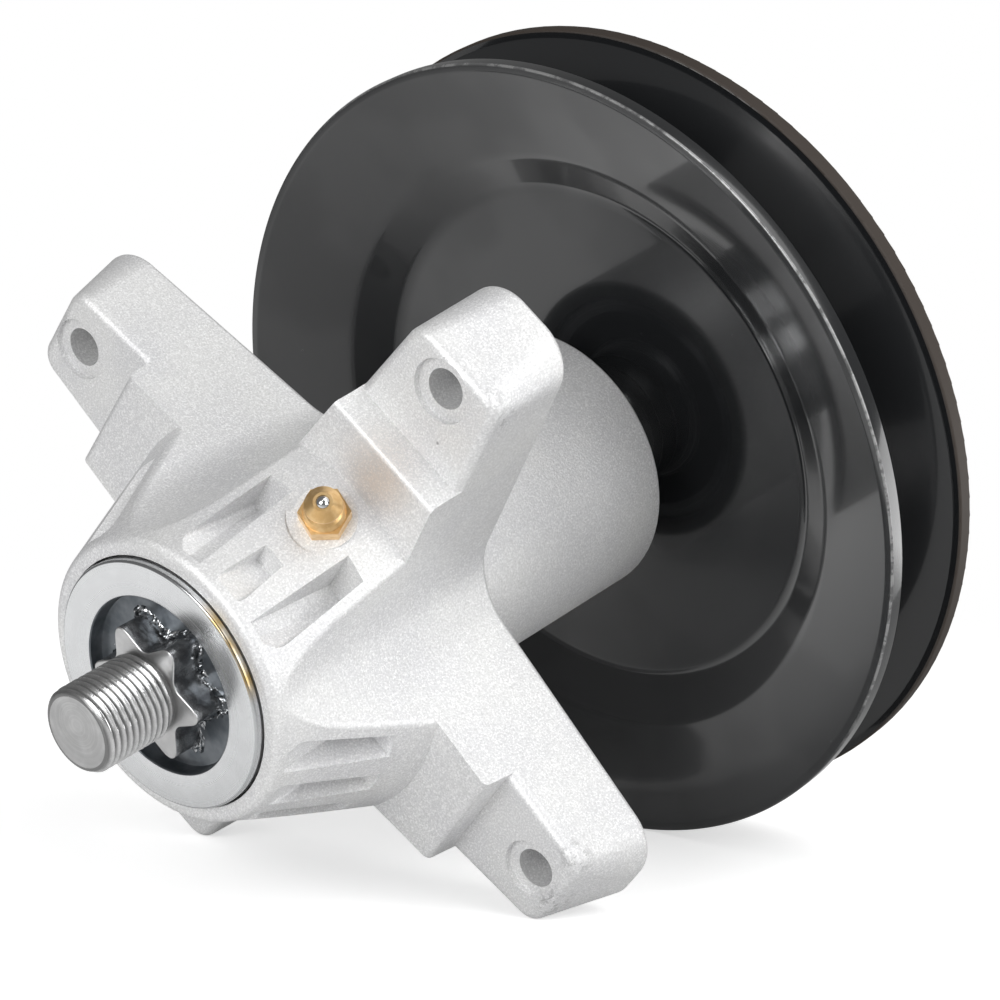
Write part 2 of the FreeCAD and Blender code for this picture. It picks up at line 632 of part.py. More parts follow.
def make_fitting():
    """Grease fitting on its own axis: hex body with a check ball and a spring behind it."""
    hex_top = FITTING_HEX_HEIGHT
    head_low = hex_top + FITTING_HEAD_RISE
    head_wide = head_low + FITTING_HEAD_FLARE
    collar_r = FITTING_FLATS / 2 - FITTING_EDGE / 2
    ball_z = FITTING_HEIGHT - math.sqrt(CHECK_BALL_R ** 2 - FITTING_MOUTH_R ** 2) - CHECK_BALL_GAP
    hexagon_bar = turned(prism(hexagon(FITTING_FLATS), 0, hex_top), FITTING_TURN)
    turned_bar = revolved([
        (0, -FITTING_SHANK_LENGTH), (FITTING_SHANK_R - FITTING_EDGE, -FITTING_SHANK_LENGTH),
        (FITTING_SHANK_R, FITTING_EDGE - FITTING_SHANK_LENGTH), (FITTING_SHANK_R, hex_top - FITTING_EDGE),
        (collar_r, hex_top - FITTING_EDGE), (collar_r, hex_top + FITTING_EDGE / 2),
        (FITTING_HEAD_R, hex_top + FITTING_COLLAR_RISE), (FITTING_NECK_R, hex_top + FITTING_NECK_RISE),
        (FITTING_NECK_R, head_low), (FITTING_HEAD_R, head_wide),
        (FITTING_HEAD_R, head_wide + FITTING_HEAD_BAND),
        (FITTING_MOUTH_R + FITTING_NOSE_WALL, FITTING_HEIGHT), (0, FITTING_HEIGHT),
    ])
    ledge = FITTING_LEDGE
    seat_low = ball_z - 0.2
    bore = revolved([
        (0, -FITTING_SHANK_LENGTH - 1), (FITTING_DUCT_R, -FITTING_SHANK_LENGTH - 1),
        (FITTING_DUCT_R, ledge), (FITTING_BORE_R, ledge), (FITTING_BORE_R, seat_low),
        (FITTING_MOUTH_R, FITTING_HEIGHT), (FITTING_MOUTH_R, FITTING_HEIGHT + 1), (0, FITTING_HEIGHT + 1),
    ])
    ball = Part.makeSphere(CHECK_BALL_R, Vector(0, 0, ball_z))
    seat = Part.makeSphere(CHECK_BALL_R + CHECK_BALL_GAP, Vector(0, 0, ball_z))
    body = hexagon_bar.fuse(turned_bar).cut([bore, seat])

    low = ledge + SPRING_WIRE_R
    high = ball_z - math.sqrt(CHECK_BALL_R ** 2 - SPRING_R ** 2) - SPRING_WIRE_R - SPRING_BALL_GAP
    helix = Part.makeHelix((high - low) / SPRING_TURNS, high - low, SPRING_R)
    helix.translate(Vector(0, 0, low))
    wire_end = Part.Wire(Part.Circle(Vector(SPRING_R, 0, low), Vector(0, 1, 0), SPRING_WIRE_R).toShape())
    spring = Part.Wire(helix.Edges).makePipeShell([wire_end], True, True)
    place = fitting_placement()
    for shape in (body, ball, spring):
        shape.Placement = place.multiply(shape.Placement)
    return body, ball, spring


save(make_housing(), "spindle_housing")
save(make_shaft(), "spindle_shaft")

for name, low in (("lower_bearing", LOWER_BRG_Z), ("upper_bearing", UPPER_BRG_Z)):
    for piece, shape in make_bearing(low).items():
        save(shape, name + "_" + piece)

save(tube(SPACER_R, BRG_BORE_R, LOWER_BRG_Z + BRG_WIDTH, UPPER_BRG_Z), "bearing_spacer")
save(tube(SPACER_R, BRG_BORE_R, UPPER_BRG_Z + BRG_WIDTH, PULLEY_WEB_Z), "pulley_spacer")

pulley_front, pulley_rear = make_pulley()
save(pulley_front, "pulley_front_half")
save(pulley_rear, "pulley_rear_half")
save(tube(WASHER_R, STUD_R, WASHER_Z, NUT_Z), "pulley_washer")
save(make_nut(), "pulley_nut")

fitting_body, fitting_ball, fitting_spring = make_fitting()
save(fitting_body, "grease_fitting_body")
save(fitting_ball, "grease_fitting_ball")
save(fitting_spring, "grease_fitting_spring")
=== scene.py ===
# %% [markdown]
# # A mower deck spindle
# The spindle carries a mower's blade under the deck and a belt pulley over it. The solids come from CAD
# at their real size, and this lesson gives them their finishes: bead-blasted casting, gloss black paint,
# turned and threaded steel, yellow brass. It also adds the pieces that are too fine for the solids,
# such as the thread turns on the blade stud.

import json
import math

import bmesh
import bpy
from mathutils import Matrix, Vector, noise


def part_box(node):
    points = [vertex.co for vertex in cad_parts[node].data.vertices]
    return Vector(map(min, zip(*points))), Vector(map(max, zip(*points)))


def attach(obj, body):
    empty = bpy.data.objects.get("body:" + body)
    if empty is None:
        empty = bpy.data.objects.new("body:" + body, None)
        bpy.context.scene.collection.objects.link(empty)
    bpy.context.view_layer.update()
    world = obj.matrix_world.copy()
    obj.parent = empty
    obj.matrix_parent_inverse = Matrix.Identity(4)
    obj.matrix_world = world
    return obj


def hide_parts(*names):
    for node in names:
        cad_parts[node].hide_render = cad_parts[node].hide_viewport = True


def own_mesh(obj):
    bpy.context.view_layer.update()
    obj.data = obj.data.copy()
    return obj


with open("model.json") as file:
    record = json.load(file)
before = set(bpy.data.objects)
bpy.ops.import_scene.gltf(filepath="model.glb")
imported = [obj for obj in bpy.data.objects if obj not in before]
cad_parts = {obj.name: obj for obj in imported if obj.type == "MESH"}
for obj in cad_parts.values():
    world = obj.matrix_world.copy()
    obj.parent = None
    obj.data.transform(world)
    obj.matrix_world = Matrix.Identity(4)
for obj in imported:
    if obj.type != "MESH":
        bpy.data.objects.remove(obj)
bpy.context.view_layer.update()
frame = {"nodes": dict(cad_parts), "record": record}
nodes = frame["nodes"]
scene = bpy.context.scene
scene.view_settings.view_transform = "Standard"

# %% [markdown]
# ## Camera
# The photograph looks up at the blade end while the spindle lies on its side, so in the part's own frame
# the camera stands below and beside it and is rolled over. Its place and its three axes were worked out
# from the bolt holes, the flange and the two pulley rims. Writing the axes as the columns of a matrix
# keeps the roll, which a look-at constraint would lose.

# %% Camera
right = Vector((0.409408, 0.650038, 0.640184))
down = Vector((-0.576034, 0.728313, -0.371140))
forward = Vector((-0.707509, -0.216820, 0.672622))
eye = Vector((0.441296, 0.137154, -0.365620))
SENSOR_MM = 36.0
FOCAL_SHARE = 3.282678

lens = bpy.data.cameras.new("photo_lens")
lens.sensor_width = SENSOR_MM
lens.lens = SENSOR_MM * FOCAL_SHARE
lens.clip_start = 0.01
camera = bpy.data.objects.new("photo_camera", lens)
scene.collection.objects.link(camera)
camera.matrix_world = Matrix.Translation(eye) @ Matrix((right, -down, -forward)).transposed().to_4x4()
scene.camera = camera
print("camera at", tuple(round(v, 4) for v in eye), "lens", round(lens.lens, 1), "mm")

# %% [markdown]
# ## Floor and light
# The spindle rests on two arm ends and the pulley's rim, so the floor is a leaning plane in this frame.
# Its material lets light and sight through from behind, so that other views aren't shut off by it, and
# fades out away from the object, where the white world takes over. The sheet glows only for rays from the
# camera, so that it looks white, and for mirrored rays, so that paint and metal show a pale pool of light
# beside the spindle. The pool is dimmer close to the object, which an Ambient Occlusion node tells. For all
# other rays the sheet is plain white paper. The light comes from a dim world, two soft keys above and on the
# right, one low on the right for the rims, and a fill from the front.

# %% Node helpers
def add(tree, kind, settings=None, inputs=None):
    """One shader node with its settings and its input values or links."""
    made = tree.nodes.new(kind)
    for key, value in (settings or {}).items():
        setattr(made, key, value)
    for key, value in (inputs or {}).items():
        if isinstance(value, bpy.types.NodeSocket):
            tree.links.new(value, made.inputs[key])
        else:
            made.inputs[key].default_value = value
    return made


def math_of(tree, operation, a, b=0.0):
    """Result of one Math node."""
    return add(tree, "ShaderNodeMath", {"operation": operation}, {0: a, 1: b}).outputs[0]


def band(tree, value, low, high, to_low=0.0, to_high=1.0):
    """Smooth step of a value from one range to another."""
    made = add(tree, "ShaderNodeMapRange", {"interpolation_type": "SMOOTHSTEP"}, {
        "Value": value, "From Min": low, "From Max": high, "To Min": to_low, "To Max": to_high})
    return made.outputs["Result"]


def mixed(tree, factor, a, b):
    """Two colours mixed by a factor."""
    made = add(tree, "ShaderNodeMix", {"data_type": "RGBA"}, {0: factor, 6: a, 7: b})
    return made.outputs[2]


def either(tree, flag, off, on):
    """One of two values, chosen by a flag of 0 or 1."""
    return add(tree, "ShaderNodeMix", {"data_type": "FLOAT"}, {0: flag, 2: off, 3: on}).outputs[0]


def distance_of(tree, place, spot):
    """Distance of the shaded place from a point."""
    return add(tree, "ShaderNodeVectorMath", {"operation": "DISTANCE"}, {0: place, 1: spot}).outputs["Value"]


def grey(value):
    """A neutral colour."""
    return (value, value, value, 1.0)


# %% Floor
SHEET_FULL = 0.20
SHEET_GONE = 0.42
SHADE_REACH = 0.14
MIRRORED_GLOW = 0.58
SEEN_GLOW = 0.53
POOL_FULL = 0.18
POOL_GONE = 0.32
POOL_LEFT = 0.15
POOL_AWAY = 0.08
FLOOR_R = 1.6
FLOOR_DROP = 0.05235
PAPER_WHITE = 0.8
MIRRORED_PAPER = 0.3
floor_up = Vector((0.67, -0.67, 0.3195)).normalized()
floor_point = -FLOOR_DROP * floor_up

bm = bmesh.new()
bmesh.ops.create_circle(bm, cap_ends=True, segments=96, radius=FLOOR_R)
turn = floor_up.to_track_quat("Z", "Y").to_matrix().to_4x4()
bmesh.ops.transform(bm, matrix=Matrix.Translation(floor_point) @ turn, verts=bm.verts)
mesh = bpy.data.meshes.new("floor")
bm.to_mesh(mesh)
bm.free()
floor = bpy.data.objects.new("floor", mesh)
scene.collection.objects.link(floor)

paper = bpy.data.materials.new("white_paper")
paper.use_nodes = True
tree = paper.node_tree
tree.nodes.clear()
place = add(tree, "ShaderNodeTexCoord").outputs["Object"]
fade = band(tree, distance_of(tree, place, floor_point), SHEET_FULL, SHEET_GONE)
behind = add(tree, "ShaderNodeNewGeometry").outputs["Backfacing"]
clear = math_of(tree, "MAXIMUM", fade, behind)
rays = add(tree, "ShaderNodeLightPath").outputs
mirrored = math_of(tree, "MAXIMUM", rays["Is Glossy Ray"], rays["Is Transmission Ray"])
open_sky = add(tree, "ShaderNodeAmbientOcclusion", {"samples": 1}, {"Distance": SHADE_REACH}).outputs["AO"]
floor_right = (right - floor_up * right.dot(floor_up)).normalized()
floor_away = (forward - floor_up * forward.dot(floor_up)).normalized()
pool_spot = floor_point - POOL_LEFT * floor_right + POOL_AWAY * floor_away
from_pool = distance_of(tree, place, pool_spot)
pool = math_of(tree, "MULTIPLY", band(tree, open_sky, 0.3, 0.9, 0.1, 1.0),
               band(tree, from_pool, POOL_GONE, POOL_FULL, 0.15, 1.0))
table = either(tree, mirrored, 0.0, math_of(tree, "MULTIPLY", pool, MIRRORED_GLOW))
sheet = add(tree, "ShaderNodeBsdfDiffuse", None, {
    "Color": mixed(tree, mirrored, grey(PAPER_WHITE), grey(MIRRORED_PAPER))})
glow = add(tree, "ShaderNodeEmission", None, {
    "Color": grey(1.0), "Strength": either(tree, rays["Is Camera Ray"], table, SEEN_GLOW)})
paper_light = add(tree, "ShaderNodeAddShader", None, {0: sheet.outputs[0], 1: glow.outputs[0]})
gone = add(tree, "ShaderNodeBsdfTransparent")
blend = add(tree, "ShaderNodeMixShader", None, {0: clear, 1: paper_light.outputs[0], 2: gone.outputs[0]})
add(tree, "ShaderNodeOutputMaterial", None, {"Surface": blend.outputs[0]})
floor.data.materials.append(paper)
print("floor leans with up axis", tuple(round(v, 3) for v in floor_up))

# %% World and lamps
SKY = 0.46
MIRRORED_SKY = 0.17
LAMPS_AIM = Vector((0.0, 0.0, 0.02))
world = bpy.data.worlds.new("white_tent")
scene.world = world
world.use_nodes = True
tree = world.node_tree
tree.nodes.clear()
rays = add(tree, "ShaderNodeLightPath").outputs
mirrored = math_of(tree, "MAXIMUM", rays["Is Glossy Ray"], rays["Is Transmission Ray"])
level = either(tree, mirrored, SKY, MIRRORED_SKY)
level = math_of(tree, "MAXIMUM", level, rays["Is Camera Ray"])
sky = add(tree, "ShaderNodeBackground", None, {"Color": grey(1.0), "Strength": level})
add(tree, "ShaderNodeOutputWorld", None, {"Surface": sky.outputs[0]})


def softbox(name, toward, distance, size, watts):
    """A square lamp that faces the spindle from a direction given as right, up and nearer the camera."""
    side = (right * toward[0] - down * toward[1] - forward * toward[2]).normalized()
    lamp = bpy.data.lights.new(name, "AREA")
    lamp.shape = "SQUARE"
    lamp.size = size
    lamp.energy = watts
    made = bpy.data.objects.new(name, lamp)
    scene.collection.objects.link(made)
    spot = LAMPS_AIM + side * distance
    made.matrix_world = Matrix.Translation(spot) @ side.to_track_quat("Z", "Y").to_matrix().to_4x4()


softbox("key_top", (0.55, 0.75, 0.36), 1.0, 0.9, 4.2)
softbox("key_right", (0.75, 0.05, 0.66), 1.0, 0.6, 3.8)
softbox("edge_right", (0.93, -0.18, -0.20), 0.9, 0.5, 2.3)
softbox("fill_front", (-0.45, 0.15, 0.88), 1.1, 0.6, 7.5)

# %% [markdown]
# ## Cast aluminium
# The housing is a die casting, blasted with beads: pale, matt, with a fine sparkle where single dents
# catch the light. A noise with waves of about 0.4 mm drives the bump, a finer cell pattern paints that
# sparkle as glints, near-white colour on single grains, and a slow noise makes the tone drift a little as
# castings do. Sparse dark specks are painted shade of small pits. Two arm ends are scuffed.

# %% Finish helpers
def new_finish(name):
    """An empty node material with its shader, its tree and its object coordinates."""
    made = bpy.data.materials.new(name)
    made.use_nodes = True
    made.node_tree.nodes.clear()
    shader = add(made.node_tree, "ShaderNodeBsdfPrincipled")
    add(made.node_tree, "ShaderNodeOutputMaterial", None, {"Surface": shader.outputs[0]})
    place = add(made.node_tree, "ShaderNodeTexCoord").outputs["Object"]
    return made, made.node_tree, shader, place


def fit(tree, shader, **values):
    """Set shader sockets, by link or by value; underscores stand for spaces."""
    for key, value in values.items():
        socket = shader.inputs[key.replace("_", " ")]
        if isinstance(value, bpy.types.NodeSocket):
            tree.links.new(value, socket)
        else:
            socket.default_value = value


def noise_of(tree, place, scale, detail=2.0, rough=0.5):
    """Value of a noise texture with a given number of waves per metre."""
    made = add(tree, "ShaderNodeTexNoise", None, {
        "Vector": place, "Scale": scale, "Detail": detail, "Roughness": rough})
    return made.outputs[0]


def bumped(tree, height, distance):
    """Normal that follows a height, in metres."""
    return add(tree, "ShaderNodeBump", None, {
        "Height": height, "Distance": distance, "Strength": 1.0}).outputs[0]


def cell_pattern(tree, place, scale, channel):
    """Distance to the nearest cell's centre, and one random number for each cell."""
    cells = add(tree, "ShaderNodeTexVoronoi", None, {"Vector": place, "Scale": scale}).outputs
    dice = add(tree, "ShaderNodeSeparateColor", None, {0: cells["Color"]}).outputs[channel]
    return cells["Distance"], dice


def near(tree, place, spot, full, none):
    """One close to a point, falling to zero at a distance."""
    return band(tree, distance_of(tree, place, spot), none, full)


# %% Cast aluminium
EAR_B_SCUFFS = ((0.0721, 0.0091, 0.0005), (0.0756, 0.0107, 0.002), (0.0676, 0.0130, 0.003))
EAR_C_SCUFFS = ((0.0108, 0.0681, 0.001), (-0.0027, 0.0705, 0.001))
PAD_STAIN = (0.0450, 0.0005, -0.006)
SCUFF_FULL, SCUFF_GONE = 0.0008, 0.0056
STAIN_FULL, STAIN_GONE = 0.002, 0.011
GRAINS_PER_M = 2600
GLINT_CELLS_PER_M = 4200
PITS_PER_M = 210
CRUMBS_PER_M = 620
BLAST_DEEP = 0.00008

casting, tree, shader, place = new_finish("blasted_casting")
grain = noise_of(tree, place, GRAINS_PER_M, 2.0, 0.65)
# Painted glints: single grains of a fine cell pattern are lightened towards white and made less rough.
painted_glint = band(tree, cell_pattern(tree, place, GLINT_CELLS_PER_M, 0)[1], 0.80, 0.95)
drift = band(tree, noise_of(tree, place, 60, 3.0), 0.3, 0.7)
tone = mixed(tree, drift, (0.66, 0.66, 0.67, 1), (0.72, 0.72, 0.715, 1))
tone = mixed(tree, band(tree, grain, 0.50, 0.68, 0.0, 0.6), tone, grey(0.96))
tone = mixed(tree, math_of(tree, "MULTIPLY", painted_glint, 0.5), tone, grey(0.98))
tone = mixed(tree, band(tree, grain, 0.46, 0.30, 0.0, 0.35), tone, grey(0.45))
stain = math_of(tree, "MULTIPLY", near(tree, place, PAD_STAIN, STAIN_FULL, STAIN_GONE),
                band(tree, grain, 0.3, 0.6, 0.1, 0.4))
tone = mixed(tree, stain, tone, (0.60, 0.50, 0.42, 1))
# Sparse dark specks: painted shade that stands in for small pits in the casting.
pit, rare = cell_pattern(tree, place, PITS_PER_M, 1)
painted_pit_shade = math_of(tree, "MULTIPLY", band(tree, pit, 0.09, 0.04), band(tree, rare, 0.94, 0.96))
crumb = band(tree, noise_of(tree, place, CRUMBS_PER_M, 3.0, 0.7), 0.515, 0.56)
scuffed = 0.0
for spot in EAR_B_SCUFFS + EAR_C_SCUFFS:
    scuffed = math_of(tree, "MAXIMUM", scuffed, near(tree, place, spot, SCUFF_FULL, SCUFF_GONE))
scuffed = math_of(tree, "MULTIPLY", scuffed, crumb)
# The painted pit shade and the real scuffs on the arm ends darken the tone together.
pit_shade_and_scuffs = math_of(tree, "MAXIMUM", math_of(tree, "MULTIPLY", painted_pit_shade, 0.75),
               math_of(tree, "MULTIPLY", scuffed, 0.42))
tone = mixed(tree, pit_shade_and_scuffs, tone, grey(0.20))
fit(tree, shader, Base_Color=tone, Metallic=0.5,
    Roughness=band(tree, painted_glint, 0.0, 1.0, 0.52, 0.42),
    Normal=bumped(tree, grain, BLAST_DEEP))
nodes["spindle_housing"].data.materials[0] = casting
print("housing finish:", casting.name)

# %% [markdown]
# ## Gloss black pulley
# The two pulley halves are stamped sheet with thick black paint. Gloss comes from the shader: a smooth clear
# coat that mirrors the pale floor; its weight rises and falls in broad clouds, a painted reflection of the
# surroundings. Dust is a sparse cell pattern. Paint wears to metal along the corner of the front rim, which
# is found from the distance to the axis and the height; the bare line is made stronger towards +X, a painted
# highlight on the side of the rim that faces the key lamp.
# The rear half is the same paint, but dull and brownish where its cut edge took little of it.

# %% Black paint
CORNER_IN = 0.0002
CORNER_FULL, CORNER_GONE = 0.00012, 0.0003
EDGE_BAND = 0.0006
PAINT_BLACK = (0.0115, 0.0122, 0.0132, 1)
BARE_EDGE = (0.035, 0.026, 0.020, 1)
PAINT_IOR = 1.45
COAT_IOR = 1.52
COAT_ROUGH = 0.06
RIPPLES_PER_M = 140
RIPPLE_DEEP = 0.000012
DUST_PER_M = 360
CHIPS_PER_M = 300
CLOUDS_PER_M = 38


def axis_distance(tree, place):
    """Distance from the spindle axis, and the three coordinates."""
    xyz = add(tree, "ShaderNodeSeparateXYZ", None, {0: place}).outputs
    square = math_of(tree, "ADD", math_of(tree, "MULTIPLY", xyz[0], xyz[0]),
                     math_of(tree, "MULTIPLY", xyz[1], xyz[1]))
    return math_of(tree, "SQRT", square), xyz


paint, tree, shader, place = new_finish("gloss_black_paint")
reach, xyz = axis_distance(tree, place)
front_low, front_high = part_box("pulley_front_half")
dust, few = cell_pattern(tree, place, DUST_PER_M, 0)
speck = math_of(tree, "MULTIPLY", band(tree, dust, 0.07, 0.03), band(tree, few, 0.93, 0.95))
from_edge = math_of(tree, "SUBTRACT", front_high.x - CORNER_IN, reach)
from_face = math_of(tree, "SUBTRACT", front_low.z + CORNER_IN, xyz[2])
on_corner = math_of(tree, "MULTIPLY",
                    band(tree, math_of(tree, "ABSOLUTE", from_edge), CORNER_GONE, CORNER_FULL),
                    band(tree, math_of(tree, "ABSOLUTE", from_face), CORNER_GONE, CORNER_FULL))
chips = band(tree, noise_of(tree, place, CHIPS_PER_M, 4.0, 0.7), 0.40, 0.60, 0.25, 1.0)
# Painted highlight: the bare line is made stronger towards +X, the side of the rim that faces the key lamp;
# the chips along it are real wear.
side = band(tree, xyz[0], 0.0, 0.04, 0.1, 0.75)
rim_wear_and_highlight = math_of(tree, "MULTIPLY", math_of(tree, "MULTIPLY", on_corner, chips), side)
tone = mixed(tree, math_of(tree, "MULTIPLY", speck, 0.22), PAINT_BLACK, grey(0.4))
tone = mixed(tree, rim_wear_and_highlight, tone, grey(0.5))
# Painted reflection: broad clouds make the clear coat stronger and weaker, so the mirrored surroundings look
# patchy.
painted_reflection_clouds = band(tree, noise_of(tree, place, CLOUDS_PER_M, 2.0, 0.45), 0.36, 0.62)
fit(tree, shader, Base_Color=tone, Metallic=rim_wear_and_highlight, IOR=PAINT_IOR,
    Roughness=band(tree, math_of(tree, "MAXIMUM", speck, rim_wear_and_highlight), 0.0, 1.0, 0.18, 0.5),
    Coat_Weight=band(tree, painted_reflection_clouds, 0.0, 1.0, 0.72, 1.0), Coat_IOR=COAT_IOR, Coat_Roughness=COAT_ROUGH,
    Normal=bumped(tree, noise_of(tree, place, RIPPLES_PER_M, 2.0), RIPPLE_DEEP))

# %% Rear half's paint
rear_paint, tree, shader, place = new_finish("rear_black_paint")
reach = axis_distance(tree, place)[0]
rear_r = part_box("pulley_rear_half")[1].x
on_edge = band(tree, reach, rear_r - EDGE_BAND, rear_r - EDGE_BAND / 3)
tone = mixed(tree, on_edge, PAINT_BLACK, BARE_EDGE)
fit(tree, shader, Base_Color=tone, IOR=PAINT_IOR, Roughness=band(tree, on_edge, 0.0, 1.0, 0.18, 0.6),
    Coat_Weight=band(tree, on_edge, 0.0, 1.0, 0.9, 0.0), Coat_IOR=COAT_IOR, Coat_Roughness=COAT_ROUGH,
    Normal=bumped(tree, noise_of(tree, place, RIPPLES_PER_M, 2.0), RIPPLE_DEEP))
nodes["pulley_rear_half"].data.materials[0] = rear_paint
print("pulley finishes:", paint.name, rear_paint.name)

# %% [markdown]
# ## Turned shaft with its thread
# The solids leave the stud as a plain cylinder. The thread is taken as a rolled 5/8 inch one with eighteen
# turns to the inch. Spin with a step along the axis sweeps one tooth of the profile into a true helix:
# where one turn ends the next begins, so merging doubles closes the surface. The ends are cut square with
# bisect, and the first turns are pressed down to a rounded end. Next to the star a groove lets the die out.

# %% Lathe and thread helpers
STUD_R = 0.0079375
PITCH = 0.0254 / 18
THREAD_DEEP = 0.00086
END_ROUND = 0.0013
RELIEF = 0.0014
END_STEPS = (0.06, 0.16, 0.3, 0.5, 0.75, 1.0)
ROOT_RISE = 0.00008
MERGE = 0.000004
FINE_MERGE = 0.000002
FLAT_END = 0.00001


def new_piece(name, bm, body, materials):
    """Make the bmesh an object that rides on a body, with its finishes."""
    mesh = bpy.data.meshes.new(name)
    bm.to_mesh(mesh)
    bm.free()
    made = bpy.data.objects.new(name, mesh)
    scene.collection.objects.link(made)
    for finish in materials:
        made.data.materials.append(finish)
    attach(made, body)
    return made


def lathe(bm, profile, steps=144):
    """Spin a chain of (radius, height) points about the axis and return its faces."""
    verts = [bm.verts.new((r, 0.0, z)) for r, z in profile]
    edges = [bm.edges.new(pair) for pair in zip(verts, verts[1:])]
    before = set(bm.faces)
    bmesh.ops.spin(bm, geom=verts + edges, cent=(0, 0, 0), axis=(0, 0, 1), dvec=(0, 0, 0),
                   angle=2 * math.pi, steps=steps, use_merge=True)
    return [f for f in bm.faces if f not in before]


def rounded_end(depth, size):
    """How far a rounded end of a given size stands back at a depth from the end face."""
    inside = min(max(depth, 0.0), size)
    return size - math.sqrt(size * size - (size - inside) ** 2)


def thread(bm, low, high, round_low=0.0, round_high=0.0, relief=0.0, around=72):
    """A helical thread between two heights, closed at both ends, with rounded ends and a relief groove."""
    crest, root = STUD_R, STUD_R - THREAD_DEEP
    tooth = [(crest, 0.0), (crest, 0.13), (root + ROOT_RISE, 0.48), (root, 0.55), (root + ROOT_RISE, 0.63),
             (crest, 1.0)]
    turns = math.ceil((high - low) / PITCH) + 2
    start = low - 1.5 * PITCH
    verts = [bm.verts.new((r, 0.0, start + z * PITCH)) for r, z in tooth]
    edges = [bm.edges.new(pair) for pair in zip(verts, verts[1:])]
    bmesh.ops.spin(bm, geom=verts + edges, cent=(0, 0, 0), axis=(0, 0, 1), dvec=(0, 0, PITCH / around),
                   angle=2 * math.pi * turns, steps=around * turns)
    bmesh.ops.remove_doubles(bm, verts=bm.verts, dist=MERGE)
    cuts = [low + round_low * k for k in END_STEPS if round_low]
    cuts += [high - round_high * k for k in END_STEPS if round_high]
    if relief:
        cuts += [high - relief, high - 0.6 * relief]
    for height in cuts:
        parts = bm.verts[:] + bm.edges[:] + bm.faces[:]
        bmesh.ops.bisect_plane(bm, geom=parts, plane_co=(0, 0, height), plane_no=(0, 0, 1))
    for height, normal in ((low, (0, 0, -1)), (high, (0, 0, 1))):
        parts = bm.verts[:] + bm.edges[:] + bm.faces[:]
        cut = bmesh.ops.bisect_plane(bm, geom=parts, plane_co=(0, 0, height), plane_no=normal,
                                     clear_outer=True)
        rim = [e for e in cut["geom_cut"] if isinstance(e, bmesh.types.BMEdge)]
        bmesh.ops.edgeloop_fill(bm, edges=rim)
    for v in bm.verts:
        limit = STUD_R
        if round_low:
            limit = min(limit, STUD_R - rounded_end(v.co.z - low, round_low))
        if round_high:
            limit = min(limit, STUD_R - rounded_end(high - v.co.z, round_high))
        if relief and v.co.z > high - relief:
            limit = min(limit, STUD_R - THREAD_DEEP * min(1.0, (v.co.z - high + relief) / (0.4 * relief)))
        now = math.hypot(v.co.x, v.co.y)
        if now > limit:
            v.co.x *= limit / now
            v.co.y *= limit / now
    bmesh.ops.recalc_face_normals(bm, faces=bm.faces)


# %% Turned steel
def turned_steel(name, colour, roughness, lines, depth, cloudy, streaky=0.0, centre=(0.0, 0.0, 0.0)):
    """Bright steel with the fine rings that a cutting tool leaves about a centre."""
    made, tree, shader, place = new_finish(name)
    moved = add(tree, "ShaderNodeVectorMath", {"operation": "SUBTRACT"}, {0: place, 1: centre}).outputs[0]
    reach, xyz = axis_distance(tree, moved)
    along = math_of(tree, "ADD", reach, math_of(tree, "MULTIPLY", xyz[2], 0.7))
    rings = add(tree, "ShaderNodeTexNoise", {"noise_dimensions": "1D"}, {
        "W": along, "Scale": lines, "Detail": 3.0}).outputs[0]
    cloud = band(tree, noise_of(tree, place, 320, 3.0), 0.35, 0.7)
    tone = mixed(tree, cloud, tuple((1 - cloudy) * c for c in colour) + (1,), tuple(colour) + (1,))
    tone = mixed(tree, band(tree, rings, 0.42, 0.62, streaky, 0.0), tone, grey(0.2))
    fit(tree, shader, Base_Color=tone, Metallic=1.0,
        Roughness=band(tree, rings, 0.3, 0.7, roughness, roughness + 0.06),
        Normal=bumped(tree, rings, depth))
    return made


bright = turned_steel("turned_steel", (0.68, 0.68, 0.68), 0.30, 4200, 0.00002, 0.12)
SWIRL_CENTRE = (0.0012, -0.0007, 0.0)
end_face = turned_steel("stud_end", (0.60, 0.60, 0.60), 0.30, 1700, 0.00008, 0.15, 0.13, SWIRL_CENTRE)
ring_face = turned_steel("ground_ring", (0.86, 0.87, 0.88), 0.22, 1500, 0.0000002, 0.04)

# %% Thread and flange edge
threaded, tree, shader, place = new_finish("rolled_thread")
reach = axis_distance(tree, place)[0]
# Painted shade: the thread's roots are coloured darker than its crests, standing for the shade in the
# grooves.
crest_vs_root_shade = band(tree, reach, STUD_R - THREAD_DEEP, STUD_R - 0.1 * THREAD_DEEP)
cloud = band(tree, noise_of(tree, place, 800, 4.0), 0.3, 0.7, 0.75, 1.0)
tone = mixed(tree, crest_vs_root_shade, grey(0.24), grey(0.74))
tone = mixed(tree, cloud, grey(0.3), tone)
fit(tree, shader, Base_Color=tone, Metallic=1.0, Roughness=band(tree, crest_vs_root_shade, 0.0, 1.0, 0.4, 0.2),
    Normal=bumped(tree, noise_of(tree, place, 1900, 3.0), 0.00002))

TINT_MIDDLE = math.radians(20)
TINT_HALF = math.radians(27)
edge, tree, shader, place = new_finish("flange_edge")
xyz = add(tree, "ShaderNodeSeparateXYZ", None, {0: place}).outputs
angle = math_of(tree, "ARCTAN2", xyz[1], xyz[0])
off = math_of(tree, "ABSOLUTE", math_of(tree, "SUBTRACT", angle, TINT_MIDDLE))
drift = band(tree, noise_of(tree, place, 140, 3.0), 0.36, 0.60, 0.25, 1.0)
tint = math_of(tree, "MULTIPLY", band(tree, off, TINT_HALF, 0.45 * TINT_HALF), drift)
tone = mixed(tree, tint, (0.62, 0.63, 0.64, 1), (0.42, 0.30, 0.13, 1))
fit(tree, shader, Base_Color=tone, Metallic=1.0, Roughness=0.2)

